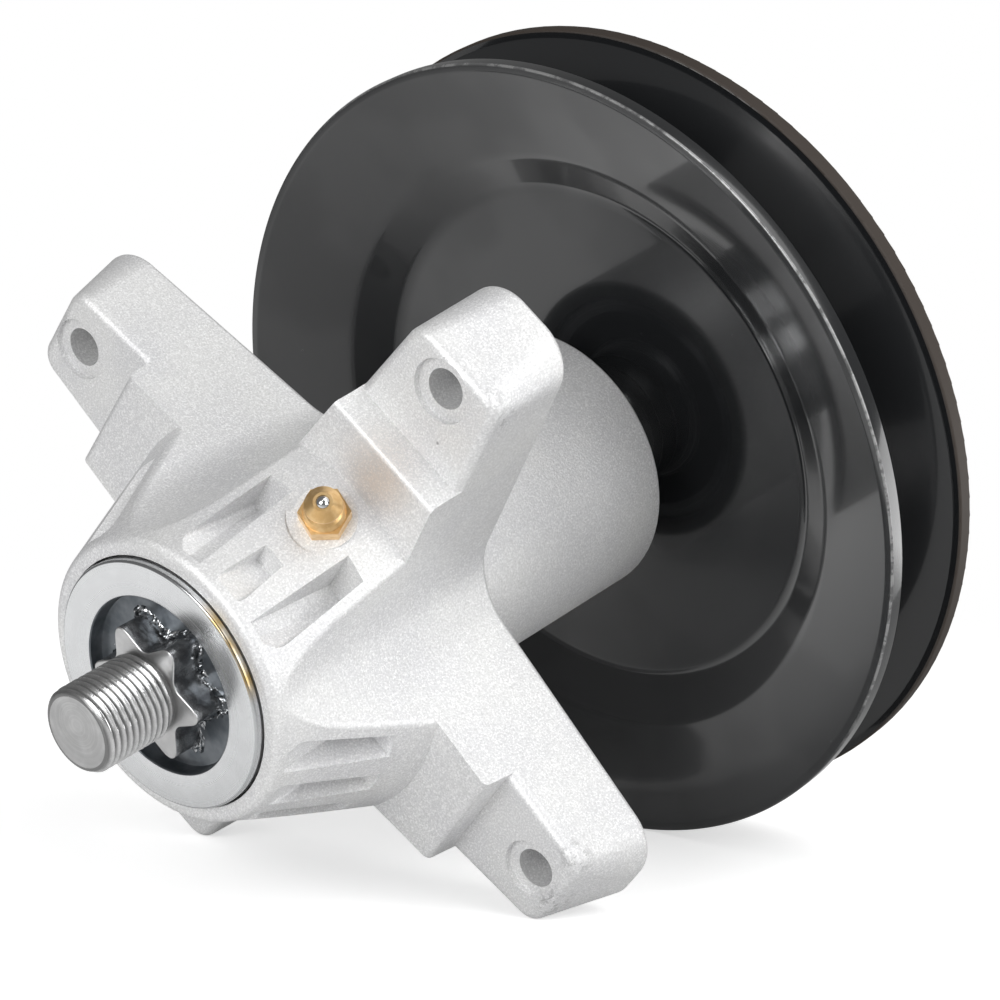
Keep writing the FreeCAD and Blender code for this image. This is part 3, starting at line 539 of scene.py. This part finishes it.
# %% Dark and torn steel
recess, tree, shader, place = new_finish("dark_recess")
cloud = band(tree, noise_of(tree, place, 260, 4.0), 0.35, 0.7)
tone = mixed(tree, cloud, (0.11, 0.125, 0.14, 1), (0.20, 0.215, 0.23, 1))
fit(tree, shader, Base_Color=tone, Metallic=0.85, Roughness=0.3,
    Normal=bumped(tree, noise_of(tree, place, 900, 3.0), 0.00004))

flank, tree, shader, place = new_finish("dark_star_flank")
cloud = band(tree, noise_of(tree, place, 420, 4.0), 0.35, 0.7)
tone = mixed(tree, cloud, (0.20, 0.205, 0.215, 1), (0.48, 0.49, 0.50, 1))
fit(tree, shader, Base_Color=tone, Metallic=0.9, Roughness=0.24,
    Normal=bumped(tree, noise_of(tree, place, 700, 4.0), 0.00012))

burr, tree, shader, place = new_finish("torn_burr")
cloud = band(tree, noise_of(tree, place, 900, 4.0), 0.4, 0.7)
tone = mixed(tree, cloud, (0.18, 0.19, 0.20, 1), (0.66, 0.67, 0.68, 1))
fit(tree, shader, Base_Color=tone, Metallic=1.0, Roughness=0.2,
    Normal=bumped(tree, noise_of(tree, place, 1700, 3.0), 0.00008))
print("steel finishes:", [m.name for m in (bright, end_face, ring_face, threaded, edge, recess, flank, burr)])

# %% Blade stud
shaft_low, shaft_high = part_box("spindle_shaft")
STAR_LOW = -0.039
SUNK = 0.0002
bm = bmesh.new()
thread(bm, shaft_low.z, STAR_LOW + SUNK, round_low=END_ROUND, relief=RELIEF)
for f in bm.faces:
    f.smooth = True
    f.material_index = 1 if max(v.co.z for v in f.verts) < shaft_low.z + FLAT_END else 0
stud = new_piece("blade_stud_thread", bm, "rotor", [threaded, end_face])
stud.data.set_sharp_from_angle(angle=math.radians(50))
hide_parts("spindle_shaft")
print("stud triangles:", sum(len(p.vertices) - 2 for p in stud.data.polygons))

# %% Top thread
washer_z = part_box("pulley_washer")[0].z
bm = bmesh.new()
thread(bm, washer_z, shaft_high.z, round_high=END_ROUND)
for f in bm.faces:
    f.smooth = True
    f.material_index = 1 if min(v.co.z for v in f.verts) > shaft_high.z - FLAT_END else 0
crown = new_piece("top_thread", bm, "rotor", [threaded, end_face])
crown.data.set_sharp_from_angle(angle=math.radians(50))
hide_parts("spindle_shaft")
print("top thread from", round(washer_z * 1000, 1), "to", round(shaft_high.z * 1000, 1), "mm")

# %% Shaft bar and flange
FACE_Z = -0.036
RECESS_Z = -0.033
FLANGE_R = 0.0234
CHAMFER = 0.00045
RECESS_R = 0.0167
CORE_R = 0.0068
JOURNAL_R = 0.0100
SHOULDER_R = 0.0130
FLANGE_BACK_Z = -0.0304
JOURNAL_LOW_Z = -0.029
BAND_Z = FACE_Z + 0.0015
FOOT_Z = RECESS_Z - 0.0005
FOOT_R = RECESS_R - 0.00005
MOUTH_R = RECESS_R + 0.0002
MOUTH_Z = FACE_Z + 0.00007
BACK_ROUND = 0.0003
DRIVE_R = CORE_R + 0.0002
web_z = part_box("pulley_spacer")[1].z
bm = bmesh.new()
floor_faces = lathe(bm, [(CORE_R, RECESS_Z), (RECESS_R - 0.0008, RECESS_Z),
                         (RECESS_R - 0.0003, RECESS_Z - 0.0001), (FOOT_R, FOOT_Z)])
wall_faces = lathe(bm, [(FOOT_R, FOOT_Z), (RECESS_R, FACE_Z + 0.0003), (MOUTH_R, MOUTH_Z)])
ring_faces = lathe(bm, [(MOUTH_R, MOUTH_Z), (RECESS_R + 0.0004, FACE_Z), (FLANGE_R - CHAMFER, FACE_Z)])
edge_faces = lathe(bm, [(FLANGE_R - CHAMFER, FACE_Z), (FLANGE_R - 0.6 * CHAMFER, FACE_Z + 0.1 * CHAMFER),
                        (FLANGE_R - 0.2 * CHAMFER, FACE_Z + 0.45 * CHAMFER), (FLANGE_R, FACE_Z + CHAMFER),
                        (FLANGE_R, BAND_Z)])
back_faces = lathe(bm, [(FLANGE_R, BAND_Z), (FLANGE_R, FLANGE_BACK_Z - BACK_ROUND),
                        (FLANGE_R - BACK_ROUND, FLANGE_BACK_Z), (SHOULDER_R, FLANGE_BACK_Z),
                        (SHOULDER_R, JOURNAL_LOW_Z), (JOURNAL_R, JOURNAL_LOW_Z), (JOURNAL_R, web_z),
                        (DRIVE_R, web_z), (DRIVE_R, washer_z), (CORE_R, washer_z)])
for index, group in enumerate((back_faces, ring_faces, edge_faces, floor_faces, wall_faces)):
    for f in group:
        f.material_index = index
        f.smooth = True
bmesh.ops.remove_doubles(bm, verts=bm.verts, dist=MERGE)
bmesh.ops.recalc_face_normals(bm, faces=bm.faces)
bar = new_piece("shaft_bar", bm, "rotor", [bright, ring_face, edge, recess, recess])
bar.data.set_sharp_from_angle(angle=math.radians(35))
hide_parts("spindle_shaft")
print("shaft bar faces:", len(bar.data.polygons))

# %% [markdown]
# ## Front pulley half
# Pressing sheet leaves soft bends: the web rolls into the dish wall and the wall into the cone with no
# crease. The profile is a chain of straight runs whose corners are rounded by short arcs, and the lathe
# turns it into the half. On the side of the dish only the bends differ from the solid, by less than half a
# millimetre. On the side of the belt groove the cone runs straight down to the web, up to 1.6 mm from the
# solid. The bore is left open, because the sleeve and the rear half hide it.

# %% Front pulley half
def softened(points, radii, pieces=8):
    """A chain of points whose corners are replaced by arcs of given radii."""
    chain = [points[0]]
    for before, point, after, radius in zip(points, points[1:], points[2:], radii):
        a, p, b = Vector(before), Vector(point), Vector(after)
        u, v = (a - p).normalized(), (b - p).normalized()
        half = u.angle(v) / 2
        centre = p + (u + v).normalized() * (radius / math.sin(half))
        start, stop = p + u * (radius / math.tan(half)), p + v * (radius / math.tan(half))
        for k in range(pieces + 1):
            spoke = (start - centre).lerp(stop - centre, k / pieces).normalized()
            chain.append(tuple(centre + spoke * radius))
    return chain + [points[-1]]


PULLEY_SHEET = 0.0034
CONE_SLOPE = 0.4308
LIP_WIDE = 0.0016
BACK_LIP_WIDE = 0.0009
WALL_FOOT_R = 0.0508
WALL_TOP_R = 0.0590
BACK_FOOT_R = 0.0467
HOLE_R = 0.0095
FOOT_BEND = 0.0060
TOP_BEND = 0.0140
LIP_BEND = 0.0012
EDGE_ROUND = 0.0004
BACK_BEND = 0.0040
rim_r = front_high.x
rim_z = front_low.z
back_rim_z = rim_z + PULLEY_SHEET
back_web_z = web_z + PULLEY_SHEET
lip_r = rim_r - LIP_WIDE
wall_top_z = rim_z + CONE_SLOPE * (lip_r - WALL_TOP_R)
profile = softened(
    [(HOLE_R, web_z), (WALL_FOOT_R, web_z), (WALL_TOP_R, wall_top_z), (lip_r, rim_z), (rim_r, rim_z),
     (rim_r, back_rim_z), (rim_r - BACK_LIP_WIDE, back_rim_z), (BACK_FOOT_R, back_web_z),
     (HOLE_R, back_web_z)],
    [FOOT_BEND, TOP_BEND, LIP_BEND, EDGE_ROUND, EDGE_ROUND, BACK_BEND, BACK_BEND])
bm = bmesh.new()
lathe(bm, profile, steps=288)
bmesh.ops.remove_doubles(bm, verts=bm.verts, dist=MERGE)
bmesh.ops.recalc_face_normals(bm, faces=bm.faces)
for f in bm.faces:
    f.smooth = True
pressed = new_piece("pulley_front_pressing", bm, "rotor", [paint])
pressed.data.set_sharp_from_angle(angle=math.radians(40))
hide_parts("pulley_front_half")
print("front half triangles:", sum(len(q.vertices) - 2 for q in pressed.data.polygons))

# %% [markdown]
# ## Blade star
# Six rounded teeth stand round the foot of the stud and key the blade. Their ends are turned bright and
# their flanks are dark. A circle of twelve points, with every other one pulled in, gives the
# outline; a vertex bevel rounds it, and extruding it makes the teeth.

# %% Blade star
STAR_POINTS = 6
STAR_TIP = 0.0146
STAR_VALLEY = 0.0079
TIP_CUT = 0.0042
VALLEY_CUT = 0.00143
STAR_EDGE = 0.0003
SAME_HEIGHT = 0.000001
STAR_TOP_Z = RECESS_Z + 0.0001
bm = bmesh.new()
made = bmesh.ops.create_circle(bm, cap_ends=True, segments=2 * STAR_POINTS, radius=STAR_TIP)
spin_to_tip = Matrix.Rotation(-math.atan2(made["verts"][0].co.y, made["verts"][0].co.x), 4, "Z")
bmesh.ops.rotate(bm, verts=bm.verts, cent=(0, 0, 0), matrix=spin_to_tip)
tips, valleys = [], []
for v in bm.verts:
    turn_count = math.degrees(math.atan2(v.co.y, v.co.x)) / (180 / STAR_POINTS)
    (tips if round(turn_count) % 2 == 0 else valleys).append(v)
for v in valleys:
    v.co *= STAR_VALLEY / v.co.length
bmesh.ops.bevel(bm, geom=tips, offset=TIP_CUT, offset_type="OFFSET", affect="VERTICES", segments=8,
                profile=0.5, material=-1)
valleys = [v for v in bm.verts if v.co.length < STAR_VALLEY + FLAT_END]
bmesh.ops.bevel(bm, geom=valleys, offset=VALLEY_CUT, offset_type="OFFSET", affect="VERTICES", segments=6,
                profile=0.5, material=-1)
outline = [(math.atan2(v.co.y, v.co.x), v.co.xy.length) for v in bm.verts]
outline.sort(key=lambda pair: pair[0])
bmesh.ops.translate(bm, verts=bm.verts, vec=(0, 0, STAR_LOW))
for f in bm.faces:
    f.normal_update()
grown = bmesh.ops.extrude_face_region(bm, geom=bm.faces[:])
tall = [g for g in grown["geom"] if isinstance(g, bmesh.types.BMVert)]
bmesh.ops.translate(bm, verts=tall, vec=(0, 0, STAR_TOP_Z - STAR_LOW))
bmesh.ops.recalc_face_normals(bm, faces=bm.faces)
for f in bm.faces:
    f.material_index = 0 if f.normal.z < -0.5 else 1
    f.smooth = abs(f.normal.z) < 0.5
rim = [e for e in bm.edges if all(abs(v.co.z - STAR_LOW) < SAME_HEIGHT for v in e.verts)]
bmesh.ops.bevel(bm, geom=rim, offset=STAR_EDGE, offset_type="OFFSET", affect="EDGES", segments=3,
                profile=0.5, material=-1)
star = new_piece("blade_star", bm, "rotor", [bright, flank])
star.data.set_sharp_from_angle(angle=math.radians(40))
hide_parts("spindle_shaft")
print("star reach mm:", round(1000 * max(v.co.xy.length for v in star.data.vertices), 2))

# %% [markdown]
# The cutter that shaped the teeth left torn metal where they meet the recess. A long grid is bent round the
# star, and a fractal noise lifts it into jagged lumps that lie along the foot of each flank.

# %% Torn burr at the foot of the star
BURR_STEPS, BURR_ROWS = 420, 10
LUMP_WAVES, TEAR_WAVES = 7.0, 17.0
BURR_WIDE = 0.0021
BURR_HIGH = 0.0021
BURR_TUCK = 0.0003
BURR_SWAY = 0.0004
BURR_ROOT_Z = RECESS_Z + 0.00005


def star_reach(angle):
    """Distance from the axis to the star's outline at an angle, between its two nearest corners."""
    before = max((pair for pair in outline if pair[0] <= angle), default=outline[-1])
    after = min((pair for pair in outline if pair[0] > angle), default=outline[0])
    span = (after[0] - before[0]) % (2 * math.pi) or 1.0
    share = ((angle - before[0]) % (2 * math.pi)) / span
    return before[1] + (after[1] - before[1]) * share


bm = bmesh.new()
bmesh.ops.create_grid(bm, x_segments=BURR_STEPS, y_segments=BURR_ROWS, size=0.5)
for v in bm.verts:
    angle = 2 * math.pi * v.co.x
    across = v.co.y + 0.5
    spot = Vector((math.cos(angle), math.sin(angle), 0.0))
    lump = noise.fractal(spot * LUMP_WAVES + Vector((0, 0, across * 1.3)), 0.9, 2.0, 4)
    tear = noise.fractal(spot * TEAR_WAVES + Vector((across * 2.0, 0, 5.0)), 0.9, 2.0, 3)
    high = BURR_HIGH * max(0.0, 0.16 + 0.55 * lump + 0.20 * tear) * math.sin(math.pi * across)
    reach = star_reach(math.atan2(spot.y, spot.x)) - BURR_TUCK + BURR_WIDE * across + BURR_SWAY * tear
    v.co = Vector((spot.x * reach, spot.y * reach, BURR_ROOT_Z - min(high, BURR_HIGH)))
bmesh.ops.remove_doubles(bm, verts=bm.verts, dist=FINE_MERGE)
bmesh.ops.recalc_face_normals(bm, faces=bm.faces)
for f in bm.faces:
    f.smooth = True
torn = new_piece("star_foot_burr", bm, "rotor", [burr])
torn.data.set_sharp_from_angle(angle=math.radians(45))
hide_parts("spindle_shaft")
print("burr stands up to mm:", round(1000 * (RECESS_Z - min(v.co.z for v in torn.data.vertices)), 2))

# %% [markdown]
# ## Small steel, brass, rubber and nylon
# The grease fitting is yellow brass, and its check ball is polished. Nut and washer are zinc plated,
# with a cloudy bloom. Inside, the bearings have ground rings, rubber seals and nylon cages.

# %% Small finishes
brass, tree, shader, place = new_finish("yellow_brass")
cloud = band(tree, noise_of(tree, place, 700, 3.0), 0.35, 0.7)
tone = mixed(tree, cloud, (0.74, 0.47, 0.20, 1), (0.86, 0.60, 0.30, 1))
fit(tree, shader, Base_Color=tone, Metallic=0.85, Roughness=0.34,
    Normal=bumped(tree, noise_of(tree, place, 3000, 2.0), 0.000015))
nodes["grease_fitting_body"].data.materials[0] = brass

polished, tree, shader, place = new_finish("polished_ball")
haze = band(tree, noise_of(tree, place, 900, 2.0), 0.3, 0.7, 0.06, 0.12)
fit(tree, shader, Base_Color=grey(0.8), Metallic=1.0, Roughness=haze)

zinc, tree, shader, place = new_finish("zinc_plate")
bloom = band(tree, noise_of(tree, place, 240, 4.0), 0.35, 0.7)
tone = mixed(tree, bloom, (0.50, 0.51, 0.52, 1), (0.68, 0.68, 0.66, 1))
fit(tree, shader, Base_Color=tone, Metallic=1.0, Roughness=band(tree, bloom, 0.0, 1.0, 0.28, 0.42),
    Normal=bumped(tree, noise_of(tree, place, 1500, 2.0), 0.00002))

rubber, tree, shader, place = new_finish("seal_rubber")
cloud = band(tree, noise_of(tree, place, 500, 3.0), 0.3, 0.7)
fit(tree, shader, Base_Color=mixed(tree, cloud, grey(0.014), grey(0.03)), Roughness=0.6,
    Normal=bumped(tree, noise_of(tree, place, 2200, 2.0), 0.00004))

nylon, tree, shader, place = new_finish("cage_nylon")
cloud = band(tree, noise_of(tree, place, 300, 3.0), 0.3, 0.7)
fit(tree, shader, Base_Color=mixed(tree, cloud, (0.50, 0.43, 0.30, 1), (0.62, 0.55, 0.40, 1)), Roughness=0.5,
    Normal=bumped(tree, noise_of(tree, place, 1800, 2.0), 0.00002))

for name, made in nodes.items():
    if name.endswith("_balls") or name == "grease_fitting_ball":
        made.data.materials[0] = polished
    elif name.endswith(("_outer_ring", "_inner_ring", "_spacer")):
        made.data.materials[0] = ring_face
    elif "_seal_" in name:
        made.data.materials[0] = rubber
    elif name.endswith("_cage"):
        made.data.materials[0] = nylon
    elif name in ("pulley_nut", "pulley_washer"):
        made.data.materials[0] = zinc
print("small finishes:", [m.name for m in (brass, polished, zinc, rubber, nylon)])

# %% [markdown]
# ## Check spring
# A small coil spring stands behind the fitting's ball. When grease pushes the ball in, the coil gets shorter
# while its foot stays on the ledge. A copy of the solid's coil is merged and rides on the housing, and the
# end of the coil farthest along the path of the ball is found as its foot.

# %% Check spring
press = next(j for j in frame["record"]["behaviour"]["joints"] if j["name"] == "check_ball_press")
ball_path = Vector(press["axis"])
bm = bmesh.new()
bm.from_mesh(nodes["grease_fitting_spring"].data)
bmesh.ops.remove_doubles(bm, verts=bm.verts, dist=FINE_MERGE)
bmesh.ops.recalc_face_normals(bm, faces=bm.faces)
foot = max((v.co for v in bm.verts), key=ball_path.dot).copy()
for f in bm.faces:
    f.smooth = True
coil = new_piece("check_spring", bm, "housing", [zinc])
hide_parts("grease_fitting_spring")
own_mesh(coil)
